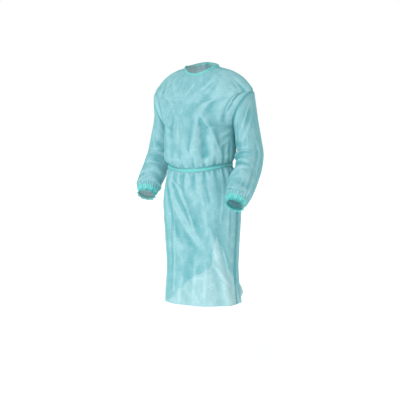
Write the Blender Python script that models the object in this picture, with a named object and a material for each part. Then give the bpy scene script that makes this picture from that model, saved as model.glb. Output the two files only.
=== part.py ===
"""A long-sleeved isolation gown of thin nonwoven cloth, in the hollow form that it has when it is worn.

The front faces -Y, the wearer's left is +X, and the origin is the middle of the neck opening, level with
the two points where the shoulder seams meet the neck. Every panel is a thin wall made from a grid of points
on its outer side. Panels that are sewn together share their edge points and are parted by the seam gap.
"""

import math

import bpy
from mathutils import Vector

# Cloth and seams, in metres.
CLOTH = 0.0015
SEAM_GAP = 0.0003
FRONT_COLUMNS = 40
BACK_COLUMNS = 18
ARMHOLE_STEPS = 10
HEM_Z = -1.09

# Each armhole is an oval that leans outwards, from its top on the upper arm to the underarm. Its distances
# from the middle of the body are counted outwards on both sides.
ARMHOLE_TOP_Z = -0.112
UNDERARM_Z = -0.272
ARMHOLE_TOP_X = {"left": 0.251, "right": 0.232}
UNDERARM_X = {"left": 0.168, "right": 0.168}
ARMHOLE_HALF_DEPTH = 0.078

# The body's level sections. The z columns are heights at the side, at the middle of the front and of the
# back; left, right, front and back are distances from the origin; square is 2 for an oval and more for a
# squarer section; steps is how many rows of points lead to this section from the one above.
BODY_COLUMNS = ("side_z", "front_z", "back_z", "left", "right", "front", "back", "square", "steps")
BODY = {
    "neck": (0.000, -0.042, 0.018, 0.084, 0.081, 0.088, 0.052, 2.0, 0),
    "yoke_high": (-0.009, -0.062, -0.006, 0.126, 0.115, 0.100, 0.070, 2.0, 1),
    "yoke_middle": (-0.026, -0.086, -0.036, 0.168, 0.154, 0.113, 0.084, 2.0, 1),
    "yoke_low": (-0.052, -0.112, -0.070, 0.207, 0.188, 0.127, 0.093, 2.0, 1),
    "shoulder": (-0.081, -0.136, -0.102, 0.234, 0.213, 0.138, 0.099, 2.0, 1),
    "seam_top": (ARMHOLE_TOP_Z, -0.162, -0.134, 0.251, 0.232, 0.146, 0.102, 2.0, 1),
    "underarm": (UNDERARM_Z, -0.278, -0.262, 0.168, 0.168, 0.166, 0.098, 2.3, ARMHOLE_STEPS),
    "rib": (-0.335, -0.350, -0.326, 0.164, 0.164, 0.172, 0.092, 2.4, 2),
    "blouse": (-0.400, -0.424, -0.380, 0.162, 0.163, 0.170, 0.086, 2.4, 2),
    "belt_over": (-0.437, -0.462, -0.412, 0.150, 0.153, 0.149, 0.071, 2.2, 2),
    "belt": (-0.445, -0.470, -0.420, 0.149, 0.152, 0.148, 0.070, 2.2, 1),
    "belt_under": (-0.453, -0.478, -0.428, 0.150, 0.153, 0.149, 0.071, 2.2, 1),
    "gathers": (-0.500, -0.522, -0.478, 0.165, 0.163, 0.152, 0.098, 2.2, 2),
    "hip": (-0.620, -0.632, -0.612, 0.180, 0.174, 0.148, 0.130, 2.2, 2),
    "thigh": (-0.780, -0.785, -0.778, 0.173, 0.166, 0.137, 0.130, 2.1, 1),
    "knee": (-0.930, -0.932, -0.929, 0.166, 0.159, 0.128, 0.127, 2.1, 2),
    "hem": (HEM_Z, HEM_Z, HEM_Z, 0.180, 0.169, 0.136, 0.138, 2.1, 3),
}
LEVEL = {name: number for number, name in enumerate(BODY)}

# The largest folds of the body. A share is how far round a panel, 0 at its centre line, 1 at the wearer's
# left edge and -1 at the right edge of the front. A positive depth stands out, a negative one is a trough.
FOLD_COLUMNS = ("panel", "top_z", "bottom_z", "top_share", "bottom_share", "width", "depth")
FOLDS = (
    ("front", -0.060, -0.260, 0.70, 0.76, 0.040, -0.009),
    ("front", -0.060, -0.260, -0.70, -0.76, 0.040, -0.007),
    ("front", -0.050, -0.240, 0.56, 0.10, 0.050, 0.009),
    ("front", -0.180, -0.420, 0.24, 0.06, 0.045, 0.010),
    ("front", -0.190, -0.420, 0.26, 0.56, 0.050, 0.009),
    ("front", -0.230, -0.430, 0.24, 0.32, 0.050, -0.009),
    ("front", -0.240, -0.420, -0.45, -0.35, 0.050, 0.006),
    ("front", -0.490, -0.800, -0.46, 0.12, 0.045, 0.012),
    ("front", -0.500, -0.800, -0.60, -0.20, 0.045, -0.009),
    ("front", -0.520, -1.090, -0.86, -0.72, 0.055, 0.011),
    ("front", -0.620, -1.090, 0.10, -0.10, 0.080, -0.011),
    ("front", -0.780, -1.090, 0.42, 0.74, 0.050, 0.009),
    ("front", -0.500, -1.090, 0.62, 0.50, 0.070, -0.008),
    ("left_back", -0.520, -1.090, 0.80, 0.84, 0.070, 0.010),
    ("left_back", -0.500, -1.090, 0.60, 0.58, 0.060, -0.012),
    ("left_back", -0.120, -0.400, 0.60, 0.40, 0.060, 0.009),
    ("right_back", -0.520, -1.090, 0.74, 0.80, 0.070, 0.010),
    ("right_back", -0.500, -1.090, 0.56, 0.54, 0.060, -0.012),
    ("right_back", -0.120, -0.400, 0.60, 0.40, 0.060, 0.009),
    ("left_back", -0.090, -0.290, 0.74, 0.80, 0.045, -0.008),
    ("right_back", -0.090, -0.290, 0.74, 0.80, 0.045, -0.008),
)
PANEL_REACH = 0.25

# The gathers that the belt draws up, counted from a panel's centre line to its edge.
GATHER_WAVES = 5.0
GATHER_DEPTH = 0.0045
GATHER_FALL = 0.026
GATHER_DRIFT = 0.9

# The back opening. Free edges are shares of a back panel: below 0 the edge is past the centre line.
LAP_LIFT = 0.0036
LAP_FLAT = 0.25
LAP_FROM_Z = -0.06
LAP_FULL_Z = -0.15
OPENING_COLUMNS = ("level", "left_edge", "right_edge")
OPENING = (
    ("neck", 0.020, 0.020),
    ("seam_top", 0.008, 0.008),
    ("underarm", -0.10, -0.10),
    ("belt", -0.20, -0.20),
    ("hip", -0.12, -0.16),
    ("knee", 0.18, 0.02),
    ("hem", 0.34, 0.60),
)
FLAP_FROM_Z = -0.86
FLAP_OUT = 0.078
LEFT_HEM_RISE = 0.022
RIGHT_HEM_RISE = 0.045

# The belt is one flat strip of the same cloth round the waist, tied behind.
BELT_WIDTH = 0.016
BELT_BOW = 0.0008
BELT_STEP = 0.02
BELT_CLEAR = 0.0003

# The sleeves, from the armhole oval to the gathered end: centre line, half sizes across and front to back.
# x counts outwards from the middle of the body on both sides.
SLEEVE_COLUMNS = ("x", "y", "z", "across", "fore_aft", "steps")
SLEEVES = {
    "left": {
        "armhole": (0.2090, 0.000, -0.192, 0.050, 0.078, 0),
        "upper_arm": (0.2190, 0.012, -0.285, 0.052, 0.076, 3),
        "elbow": (0.2270, 0.026, -0.390, 0.058, 0.080, 4),
        "forearm": (0.2380, -0.045, -0.485, 0.056, 0.068, 4),
        "puff": (0.2380, -0.118, -0.562, 0.057, 0.062, 3),
        "gathered_end": (0.2370, -0.150, -0.598, 0.050, 0.054, 2),
    },
    "right": {
        "armhole": (0.2000, 0.000, -0.192, 0.048, 0.078, 0),
        "upper_arm": (0.2120, 0.026, -0.285, 0.052, 0.076, 3),
        "elbow": (0.2320, 0.045, -0.385, 0.058, 0.080, 4),
        "forearm": (0.2480, 0.005, -0.470, 0.056, 0.070, 4),
        "puff": (0.2530, -0.048, -0.537, 0.056, 0.064, 3),
        "gathered_end": (0.2500, -0.070, -0.568, 0.048, 0.053, 2),
    },
}
ARMHOLE_BLEND = 2.0
FRAME_REACH = 0.5

# The sleeve's largest folds: station along the table above, angle round the sleeve (0 outside, 90 front,
# 180 towards the body, 270 behind), reach along and round, and depth.
SLEEVE_FOLD_COLUMNS = ("station", "angle", "along", "round", "depth")
SLEEVE_FOLDS = (
    (1.90, 180.0, 0.28, 75.0, -0.010),
    (2.25, 170.0, 0.22, 70.0, 0.008),
    (1.55, 110.0, 0.30, 50.0, -0.006),
    (2.70, 120.0, 0.35, 55.0, -0.007),
    (3.40, 150.0, 0.30, 60.0, 0.007),
    (3.90, 60.0, 0.35, 50.0, -0.007),
    (4.20, 200.0, 0.30, 55.0, 0.006),
    (3.00, 330.0, 1.60, 24.0, 0.007),
    (0.80, 40.0, 0.45, 40.0, -0.007),
)

# The cuff, gathered on a narrow elastic. Each row is a distance along the wrist, the two half sizes and the
# depth of the ruffle waves.
CUFF_COLUMNS = ("along", "across", "fore_aft", "wave")
CUFF = (
    (0.0000, 0.0480, 0.0530, 0.0000),
    (0.0090, 0.0450, 0.0490, 0.0018),
    (0.0170, 0.0395, 0.0430, 0.0020),
    (0.0220, 0.0370, 0.0400, 0.0012),
    (0.0300, 0.0420, 0.0450, 0.0034),
)
CUFF_WAVES = 10

# The neck binding, and the ties at the neck and the waist.
BINDING_WIDTH = 0.011
BINDING_LEAN = 0.35
TIE_THICKNESS = 0.0012
TIE_COLUMNS = ("name", "knot_x", "start_z", "end_x", "end_z", "width")
TIES = (
    ("neck_tie_end_left", 0.0066, 0.0125, 0.030, -0.175, 0.012),
    ("neck_tie_end_right", -0.0066, 0.0125, -0.024, -0.190, 0.012),
    ("waist_tie_end_left", 0.0090, -0.4345, 0.036, -0.690, 0.016),
    ("waist_tie_end_right", -0.0090, -0.4345, -0.030, -0.735, 0.016),
)
TIE_ROWS = 11
TIE_CLEAR = 0.0012
KNOT_COLUMNS = ("name", "y", "z", "half_x", "half_y", "half_z")
KNOTS = (
    ("neck_tie_knot", 0.0606, 0.0205, 0.0100, 0.0058, 0.0075),
    ("waist_tie_knot", 0.0852, -0.4200, 0.0180, 0.0085, 0.0140),
)
KNOT_RINGS = 6
KNOT_POINTS = 12
KNOT_SQUARE = 0.6

# Finishes: colour, roughness.
CLOTH_GREEN = (0.27, 0.66, 0.63, 1.0)
HEM_GREEN = (0.17, 0.58, 0.55, 1.0)
CLOTH_ROUGHNESS = 0.72


def clear_scene():
    for thing in list(bpy.data.objects):
        bpy.data.objects.remove(thing, do_unlink=True)


def smooth_step(value, start, end):
    """0 before start and 1 after end, with a soft rise between them. end may lie below start."""
    share = min(1.0, max(0.0, (value - start) / (end - start)))
    return share * share * (3 - 2 * share)


def through(values, at):
    """A smooth curve through values that stand at 0, 1, 2 and so on, with no overshoot between them."""
    last = len(values) - 1
    at = min(max(at, 0.0), float(last))
    cell = min(int(at), last - 1)
    part = at - cell

    def slope(k):
        if k == 0 or k == last:
            k = min(max(k, 1), last)
            return values[k] - values[k - 1]
        before, after = values[k] - values[k - 1], values[k + 1] - values[k]
        return 0.0 if before * after <= 0 else 2 * before * after / (before + after)

    start, end = values[cell], values[cell + 1]
    leave, arrive = slope(cell), slope(cell + 1)
    cube, square = part**3, part**2
    return (
        (2 * cube - 3 * square + 1) * start
        + (cube - 2 * square + part) * leave
        + (3 * square - 2 * cube) * end
        + (cube - square) * arrive
    )


def row_at(table, columns, at):
    """Every named column of a table at a place between its rows."""
    rows = list(table.values())
    return {name: through([row[k] for row in rows], at) for k, name in enumerate(columns)}


def places(table, columns):
    """The places of the rows of points: each table row after the first adds its own number of steps."""
    found = [0.0]
    for number, row in enumerate(list(table.values())[1:], start=1):
        steps = row[columns.index("steps")]
        found += [number - 1 + k / steps for k in range(1, steps + 1)]
    return found


def signed_power(value, power):
    return math.copysign(abs(value) ** power, value)


def armhole_point(side, turn):
    """A point of an armhole, as if on the left: turn 0 at its top, 90 in front and 180 at the underarm."""
    angle = math.radians(turn)
    top = Vector((ARMHOLE_TOP_X[side], 0.0, ARMHOLE_TOP_Z))
    bottom = Vector((UNDERARM_X[side], 0.0, UNDERARM_Z))
    point = (top + bottom) / 2 + (top - bottom) / 2 * math.cos(angle)
    point.y = -ARMHOLE_HALF_DEPTH * math.sin(angle)
    return point


def panel_edge(side, level, row):
    """Where a panel ends at a side: on a seam, or on the armhole between its top and the underarm."""
    along = level - LEVEL["seam_top"]
    if 0 <= along <= 1:
        return armhole_point(side, 180 * along)
    return Vector((row[side], 0.0, row["side_z"]))


def fold_depth(panel, share, height):
    """How far the named folds move a point of a panel outwards."""
    moved = 0.0
    for fold in FOLDS:
        fold = dict(zip(FOLD_COLUMNS, fold))
        if fold["panel"] != panel:
            continue
        run = (height - fold["top_z"]) / (fold["bottom_z"] - fold["top_z"])
        centre = fold["top_share"] + (fold["bottom_share"] - fold["top_share"]) * run
        off = (share - centre) * PANEL_REACH / fold["width"]
        ends = smooth_step(run, -0.12, 0.22)
        if fold["bottom_z"] > HEM_Z:
            ends *= smooth_step(run, 1.12, 0.78)
        moved += fold["depth"] * ends * math.exp(-4 * off * off)
    return moved


def gather_depth(panel, share, height, belt_z):
    """The small waves that the belt draws up, none under it and fading above and below."""
    away = max(0.0, abs(height - belt_z) - BELT_WIDTH / 2) / GATHER_FALL
    drift = GATHER_DRIFT * math.sin(2.3 * math.pi * share + 0.7)
    wave = math.cos(2 * math.pi * GATHER_WAVES * share + drift)
    if panel != "front":
        wave *= smooth_step(share, LAP_FLAT, LAP_FLAT + 0.2)
    return GATHER_DEPTH * away * math.exp(1 - away) * wave


def section_point(panel, level, share):
    """A point on the outer side of the front or of a back panel, at a level of the body's table."""
    row = row_at(BODY, BODY_COLUMNS, level)
    front = panel == "front"
    depth = row["front"] if front else row["back"]
    middle_z = row["front_z"] if front else row["back_z"]
    side = "right" if panel == "right_back" or (front and share < 0) else "left"
    edge = panel_edge(side, level, row)
    power = 2 / row["square"]
    edge_angle = math.acos(min(1.0, abs(edge.y) / depth) ** (1 / power))
    reach = edge.x / math.sin(edge_angle) ** power
    angle = edge_angle * share
    x = reach * signed_power(math.sin(angle), power)
    y = depth * math.cos(angle) ** power
    lean = (math.cos(angle) ** 2 - math.cos(edge_angle) ** 2) / math.sin(edge_angle) ** 2
    z = edge.z + (middle_z - edge.z) * lean
    out = Vector((x / reach**2, y / depth**2, 0)).normalized()
    belt = BODY["belt"]
    belt_z = belt[0] + (belt[1 if front else 2] - belt[0]) * lean
    at_edge = smooth_step(abs(share), 1.0, 0.84)
    moved = (fold_depth(panel, share, z) + gather_depth(panel, share, z, belt_z)) * at_edge
    point = Vector((x, y, z)) + out * moved
    if front:
        point.y, out.y = -point.y, -out.y
    return point, out


def free_edge(panel, level):
    """The share at which a back panel's free edge lies at a level."""
    column = OPENING_COLUMNS.index("left_edge" if panel == "left_back" else "right_edge")
    rows = [(LEVEL[row[0]], row[column]) for row in OPENING]
    for (start, first), (end, last) in zip(rows, rows[1:]):
        if level <= end:
            return first + (last - first) * smooth_step(level, start, end)
    return rows[-1][1]


def lap_lift(share, height):
    """The left back panel lies over the right one, so it stands out by this much near the centre line."""
    return LAP_LIFT * smooth_step(height, LAP_FROM_Z, LAP_FULL_Z) * smooth_step(share, 0.62, 0.30)


def front_point(level, share):
    return section_point("front", level, share)[0]


def back_surface(level, share):
    """A point and its outward direction at the back, share 1 at the wearer's left edge, -1 at the right."""
    point, out = section_point("left_back" if share >= 0 else "right_back", level, abs(share))
    if share < 0:
        point.x, out.x = -point.x, -out.x
    return point, out


def back_point(panel, level, across):
    """A point of a back panel, across 0 at its side edge and 1 at its free edge."""
    edge = free_edge(panel, level)
    share = 1 + (edge - 1) * across
    if panel == "left_back":
        point, out = back_surface(level, share)
        low = smooth_step(point.z, FLAP_FROM_Z, HEM_Z)
        rise = Vector((0, 0, LEFT_HEM_RISE * low * across**2))
        return point + rise + out * (lap_lift(share, point.z) + FLAP_OUT * low * across**3)
    point, _ = back_surface(level, -share)
    low = smooth_step(point.z, BODY["knee"][0], HEM_Z)
    point.z += RIGHT_HEM_RISE * low * smooth_step(across, 0.25, 1.0)
    return point


def sleeve_frame(side, station):
    """The sizes and centre of a sleeve at a station, and its outward, backward and lengthwise axes."""
    row = row_at(SLEEVES[side], SLEEVE_COLUMNS, station)
    ahead = row_at(SLEEVES[side], SLEEVE_COLUMNS, station + FRAME_REACH)
    behind = row_at(SLEEVES[side], SLEEVE_COLUMNS, station - FRAME_REACH)
    along = Vector([ahead[k] - behind[k] for k in "xyz"]).normalized()
    outwards = (Vector((1, 0, 0)) - along * along.x).normalized()
    backwards = along.cross(outwards).normalized()
    if backwards.y < 0:
        backwards = -backwards
    return row, Vector([row[k] for k in "xyz"]), outwards, backwards, along


def ring_offset(row, outwards, backwards, turn, grow=0.0):
    angle = math.radians(turn)
    across = (row["across"] + grow) * math.cos(angle)
    return outwards * across - backwards * (row["fore_aft"] + grow) * math.sin(angle)


def sleeve_point(side, station, turn):
    """A point of a sleeve, as if on the left. Near the armhole the rings lean to meet its oval."""
    row, centre, outwards, backwards, _ = sleeve_frame(side, station)
    last = len(SLEEVES[side]) - 1
    moved = 0.0
    for fold in SLEEVE_FOLDS:
        fold = dict(zip(SLEEVE_FOLD_COLUMNS, fold))
        along = (station - fold["station"]) / fold["along"]
        turned = ((turn - fold["angle"] + 180) % 360 - 180) / fold["round"]
        moved += fold["depth"] * math.exp(-2 * along * along - 2 * turned * turned)
    moved *= smooth_step(station, 0.0, 0.5) * smooth_step(station, last, last - 0.6)
    point = centre + ring_offset(row, outwards, backwards, turn, moved)
    first, start, first_out, first_back, _ = sleeve_frame(side, 0.0)
    lean = armhole_point(side, turn) - start - ring_offset(first, first_out, first_back, turn)
    return point + lean * (1 - smooth_step(station, 0.0, ARMHOLE_BLEND))


def cuff_point(side, row, turn):
    """A point of a cuff, which goes on from the sleeve's end along the wrist."""
    _, end, outwards, backwards, along = sleeve_frame(side, len(SLEEVES[side]) - 1.0)
    wave = row["wave"] * math.cos(math.radians(turn) * CUFF_WAVES)
    return end + along * row["along"] + ring_offset(row, outwards, backwards, turn, wave)


def mirrored(grid):
    """The same grid for the wearer's right side, its columns turned round so that it faces outwards."""
    return [[Vector((-p.x, p.y, p.z)) for p in reversed(row)] for row in grid]


def face_normals(grid, closed):
    """Pairs of a corner place and the normal of each face of a grid that meets there."""
    columns = len(grid[0])
    for i in range(len(grid) - 1):
        for j in range(columns if closed else columns - 1):
            k = (j + 1) % columns
            corners = ((i, j), (i, k), (i + 1, k), (i + 1, j))
            a, b, c, d = (grid[r][s] for r, s in corners)
            normal = (c - a).cross(b - d)
            for place in corners:
                yield place, normal


def key(point):
    return tuple(round(value, 5) for value in point)


def shared_normals(grids):
    """Outward normals for each grid, the same where two grids share a point."""
    summed = {}
    for grid, closed in grids.values():
        for (i, j), normal in face_normals(grid, closed):
            place = key(grid[i][j])
            summed[place] = summed.get(place, Vector()) + normal.normalized()
    return {
        name: [[summed[key(p)].normalized() for p in row] for row in grid]
        for name, (grid, _) in grids.items()
    }


def even_seam(cuff, normals, sleeve):
    """Points that a cuff's first ring adds between the sleeve's own take the mean of the normals beside."""
    own = {key(point) for point in sleeve[-1]}
    ring = normals[0]
    for k, point in enumerate(cuff[0]):
        if key(point) not in own:
            ring[k] = (ring[k - 1] + ring[(k + 1) % len(ring)]).normalized()


def parted(grid, normals, closed, sides):
    """The grid with each sewn edge moved half the seam gap into its own panel, along the cloth."""
    moved = [[p.copy() for p in row] for row in grid]
    rows, columns = len(grid), len(grid[0])

    def pull(i, j, to_i, to_j, along):
        inwards = grid[to_i][to_j] - grid[i][j]
        for direction in (normals[i][j], along.normalized()):
            inwards -= direction * inwards.dot(direction)
        moved[i][j] += inwards.normalized() * SEAM_GAP / 2

    for side, i, to_i in (("top", 0, 1), ("bottom", rows - 1, rows - 2)):
        if side in sides:
            for j in range(columns):
                before = (j - 1) % columns if closed else max(j - 1, 0)
                after = (j + 1) % columns if closed else min(j + 1, columns - 1)
                pull(i, j, to_i, j, grid[i][after] - grid[i][before])
    for side, j, to_j in (("first", 0, 1), ("last", columns - 1, columns - 2)):
        if side in sides:
            for i in range(rows):
                pull(i, j, i, to_j, grid[min(i + 1, rows - 1)][j] - grid[max(i - 1, 0)][j])
    return moved


def wall(name, grid, normals, closed, finish, thickness=CLOTH):
    """One closed solid: the grid as its outer side, the same grid moved in as its inner side, and its rims.

    Both sides are cut along the shorter diagonal of each cell, so the wall is as thick all over.
    """
    rows, columns = len(grid), len(grid[0])
    outer = [p for row in grid for p in row]
    inner = [p - n * thickness for row, ns in zip(grid, normals) for p, n in zip(row, ns)]
    count = len(outer)
    faces = []
    spans = range(columns if closed else columns - 1)
    for i in range(rows - 1):
        for j in spans:
            k = (j + 1) % columns
            a, b, c, d = i * columns + j, (i + 1) * columns + j, (i + 1) * columns + k, i * columns + k
            shorter = (outer[a] - outer[c]).length < (outer[b] - outer[d]).length
            for face in ((a, b, c), (a, c, d)) if shorter else ((a, b, d), (b, c, d)):
                faces.append(face)
                faces.append(tuple(v + count for v in reversed(face)))
    for i, flip in ((0, False), (rows - 1, True)):
        for j in spans:
            a, b = i * columns + j, i * columns + (j + 1) % columns
            rim = (a, b, b + count, a + count)
            faces.append(tuple(reversed(rim)) if flip else rim)
    if not closed:
        for j, flip in ((0, True), (columns - 1, False)):
            for i in range(rows - 1):
                a, b = i * columns + j, (i + 1) * columns + j
                rim = (a, b, b + count, a + count)
                faces.append(tuple(reversed(rim)) if flip else rim)
    return solid(name, outer + inner, faces, finish)


def solid(name, points, faces, finish):
    mesh = bpy.data.meshes.new(name)
    mesh.from_pydata([tuple(p) for p in points], [], faces)
    mesh.validate()
    mesh.shade_smooth()
    mesh.set_sharp_from_angle(angle=math.radians(50))
    mesh.materials.append(finish)
    thing = bpy.data.objects.new(name, mesh)
    bpy.context.scene.collection.objects.link(thing)
    return thing


def nonwoven(name, colour):
    finish = bpy.data.materials.new(name)
    finish.use_nodes = True
    shader = finish.node_tree.nodes["Principled BSDF"]
    shader.inputs["Base Color"].default_value = colour
    shader.inputs["Roughness"].default_value = CLOTH_ROUGHNESS
    shader.inputs["Metallic"].default_value = 0.0
    finish.diffuse_color = colour
    return finish


def sewn_grids():
    """The grids of the sewn panels before their seams are parted, and whether each is closed round."""
    levels = places(BODY, BODY_COLUMNS)
    shares = [-1 + 2 * k / FRONT_COLUMNS for k in range(FRONT_COLUMNS + 1)]
    across = [k / BACK_COLUMNS for k in range(BACK_COLUMNS + 1)]
    front = [[front_point(level, s) for s in shares] for level in levels]
    left = [[back_point("left_back", level, a) for a in across] for level in levels]
    right = [[back_point("right_back", level, a) for a in reversed(across)] for level in levels]
    grids = {
        "front_panel": (front, False),
        "back_panel_left": (left, False),
        "back_panel_right": (right, False),
    }
    turns = [-180 * k / ARMHOLE_STEPS for k in range(2 * ARMHOLE_STEPS)]
    for side, table in SLEEVES.items():
        sleeve = [[sleeve_point(side, s, t) for t in turns] for s in places(table, SLEEVE_COLUMNS)]
        cuff = cuff_grid(side, sleeve[-1])
        if side == "right":
            sleeve, cuff = mirrored(sleeve), mirrored(cuff)
        grids["sleeve_" + side] = (sleeve, True)
        grids["cuff_" + side] = (cuff, True)
    grids["neck_binding"] = (binding_grid(grids), False)
    return grids


def binding_grid(grids):
    """A strip that stands up from the neck edge and leans in, from one back's free edge to the other's."""
    edges = ("back_panel_right", "front_panel", "back_panel_left")
    right, front, left = (grids[name][0][0] for name in edges)
    foot = right + front[1:] + left[1:]
    rises = [Vector((0, 0, 1)) - Vector((p.x, p.y, 0)).normalized() * BINDING_LEAN for p in foot]
    return [[p + rise.normalized() * BINDING_WIDTH for p, rise in zip(foot, rises)], foot]


def between(points):
    """The points of a ring with the middle of each span put in after it."""
    return [p for a, b in zip(points, points[1:] + points[:1]) for p in (a, (a + b) / 2)]


def cuff_grid(side, sleeve_end):
    """The cuff's first ring is the sleeve's last one, with a point in the middle of each span."""
    turns = [-90 * k / ARMHOLE_STEPS for k in range(4 * ARMHOLE_STEPS)]
    rows = [dict(zip(CUFF_COLUMNS, row)) for row in CUFF[1:]]
    return [between(sleeve_end)] + [[cuff_point(side, row, t) for t in turns] for row in rows]


def make_sewn_panels(cloth, doubled):
    grids = sewn_grids()
    normals = shared_normals(grids)
    for side in SLEEVES:
        cuff = "cuff_" + side
        even_seam(grids[cuff][0], normals[cuff], grids["sleeve_" + side][0])
    sewn = {
        "front_panel": ("top", "first", "last"),
        "back_panel_left": ("top", "first"),
        "back_panel_right": ("top", "last"),
        "sleeve_left": ("top", "bottom"),
        "sleeve_right": ("top", "bottom"),
        "cuff_left": ("top",),
        "cuff_right": ("top",),
        "neck_binding": ("bottom",),
    }
    for name, (grid, closed) in grids.items():
        finish = cloth if name.startswith(("front", "back", "sleeve")) else doubled
        wall(name, parted(grid, normals[name], closed, sewn[name]), normals[name], closed, finish)


def belt_row(level):
    """Points of the cloth under the belt: the front, what shows of the right back, and the left back."""
    belt = LEVEL["belt"]
    seen = (1 + free_edge("left_back", belt)) / (1 - free_edge("right_back", belt)) - BELT_STEP
    right = range(1, int(seen * BACK_COLUMNS) + 1)
    row = [front_point(level, 1 - 2 * k / FRONT_COLUMNS) for k in range(FRONT_COLUMNS + 1)]
    row += [back_point("right_back", level, k / BACK_COLUMNS) for k in right]
    row += [back_point("left_back", level, k / BACK_COLUMNS) for k in range(BACK_COLUMNS, 0, -1)]
    return row[::-1]


def make_belt(finish):
    rows = [belt_row(LEVEL[name]) for name in ("belt_over", "belt", "belt_under")]
    bows = (0.0, BELT_BOW, 0.0)
    normals = shared_normals({"belt": (rows, True)})["belt"]
    grid = [
        [p + n * (CLOTH + BELT_CLEAR + bow) for p, n in zip(row, ns)]
        for row, ns, bow in zip(rows, normals, bows)
    ]
    wall("waist_tie", grid, normals, True, finish)


def solve(function, target, low, high):
    """Where a rising or falling function reaches the target, by halving."""
    rising = function(high) > function(low)
    for _ in range(30):
        middle = (low + high) / 2
        if (function(middle) < target) == rising:
            low = middle
        else:
            high = middle
    return (low + high) / 2


def on_back(x, z):
    """The point of the outermost back layer at this x and z, and its outward direction."""
    level, share = float(LEVEL["hip"]), 0.0
    for _ in range(4):
        level = solve(lambda value: back_surface(value, share)[0].z, z, 0.0, float(LEVEL["hem"]))
        share = solve(lambda value: back_surface(level, value)[0].x, x, -0.9, 0.9)
    point, out = back_surface(level, share)
    return point + out * lap_lift(share, point.z), out


def make_tie_ends(finish):
    """Flat strips that hang down the back from the two knots."""
    for tie in TIES:
        tie = dict(zip(TIE_COLUMNS, tie))
        grid = []
        for k in range(TIE_ROWS + 1):
            run = k / TIE_ROWS
            x = tie["knot_x"] + (tie["end_x"] - tie["knot_x"]) * run
            z = tie["start_z"] + (tie["end_z"] - tie["start_z"]) * run
            row = []
            for across in (0.5, 0.0, -0.5):
                point, out = on_back(x + across * tie["width"], z)
                row.append(point + out * (TIE_CLEAR + TIE_THICKNESS))
            grid.append(row)
        normals = shared_normals({"tie": (grid, False)})["tie"]
        wall(tie["name"], grid, normals, False, finish, TIE_THICKNESS)


def make_knots(finish):
    """The two tied knots, as plain rounded pads."""
    for knot in KNOTS:
        knot = dict(zip(KNOT_COLUMNS, knot))
        centre = Vector((0, knot["y"], knot["z"]))
        half = Vector((knot["half_x"], knot["half_y"], knot["half_z"]))
        points = [centre + Vector((0, 0, half.z))]
        for i in range(1, KNOT_RINGS):
            tilt = math.pi * i / KNOT_RINGS
            ring, up = math.sin(tilt) ** KNOT_SQUARE, signed_power(math.cos(tilt), KNOT_SQUARE)
            for k in range(KNOT_POINTS):
                angle = 2 * math.pi * k / KNOT_POINTS
                x = ring * signed_power(math.cos(angle), KNOT_SQUARE)
                y = ring * signed_power(math.sin(angle), KNOT_SQUARE)
                points.append(centre + Vector((x * half.x, y * half.y, up * half.z)))
        points.append(centre - Vector((0, 0, half.z)))
        faces = []
        last = len(points) - 1
        for k in range(KNOT_POINTS):
            after = (k + 1) % KNOT_POINTS
            faces.append((0, 1 + k, 1 + after))
            for i in range(KNOT_RINGS - 2):
                a, b = 1 + i * KNOT_POINTS, 1 + (i + 1) * KNOT_POINTS
                faces.append((a + k, b + k, b + after, a + after))
            low = 1 + (KNOT_RINGS - 2) * KNOT_POINTS
            faces.append((low + after, low + k, last))
        solid(knot["name"], points, faces, finish)


def main():
    clear_scene()
    cloth = nonwoven("spunbonded_nonwoven", CLOTH_GREEN)
    hem = nonwoven("doubled_nonwoven", HEM_GREEN)
    make_sewn_panels(cloth, hem)
    make_belt(hem)
    make_tie_ends(hem)
    make_knots(hem)


main()
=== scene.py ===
"""Looks of a disposable isolation gown of thin translucent nonwoven cloth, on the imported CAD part.

The front faces -Y, the wearer's left is +X, and the origin is the middle of the neck opening. Each panel is
one thin sheet on the outer side of its solid, with the gown's creases, gathers and seam puckers. The rows and
columns of a sheet's grid run down the gown and round it. Sizes are in metres unless a name says mm.
"""

import functools
import itertools
import math

import bpy
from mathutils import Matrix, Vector, noise


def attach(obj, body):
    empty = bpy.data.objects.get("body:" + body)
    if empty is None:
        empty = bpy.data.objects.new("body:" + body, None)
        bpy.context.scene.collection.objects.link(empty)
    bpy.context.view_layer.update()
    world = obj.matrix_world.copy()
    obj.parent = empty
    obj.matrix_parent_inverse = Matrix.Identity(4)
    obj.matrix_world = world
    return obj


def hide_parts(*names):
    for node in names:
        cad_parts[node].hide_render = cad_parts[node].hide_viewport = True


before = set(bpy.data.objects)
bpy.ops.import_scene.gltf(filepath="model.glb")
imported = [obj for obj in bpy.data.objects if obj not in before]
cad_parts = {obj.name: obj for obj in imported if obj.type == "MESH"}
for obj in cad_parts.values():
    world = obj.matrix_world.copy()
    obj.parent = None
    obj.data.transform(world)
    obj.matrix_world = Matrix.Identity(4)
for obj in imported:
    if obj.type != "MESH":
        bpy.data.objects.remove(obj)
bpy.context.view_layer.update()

# Camera and studio.
CAMERA_TURN = math.radians(25.0)
CAMERA_TILT = math.radians(4.2)
CAMERA_DISTANCE = 4.4
CAMERA_HEIGHT = -0.29
CAMERA_ASIDE = -0.0093
LENS_MM = 85.14
FLOOR_Z = -1.49
FLOOR_REACH = 40
FLOOR_GLOW = 0.5
ROOM_LIGHT = 0.34
SUN_STRENGTH = 2.1
SUN_SPREAD = math.radians(45)
SUN_WAY = (0.05, 1.1, -0.85)

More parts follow.
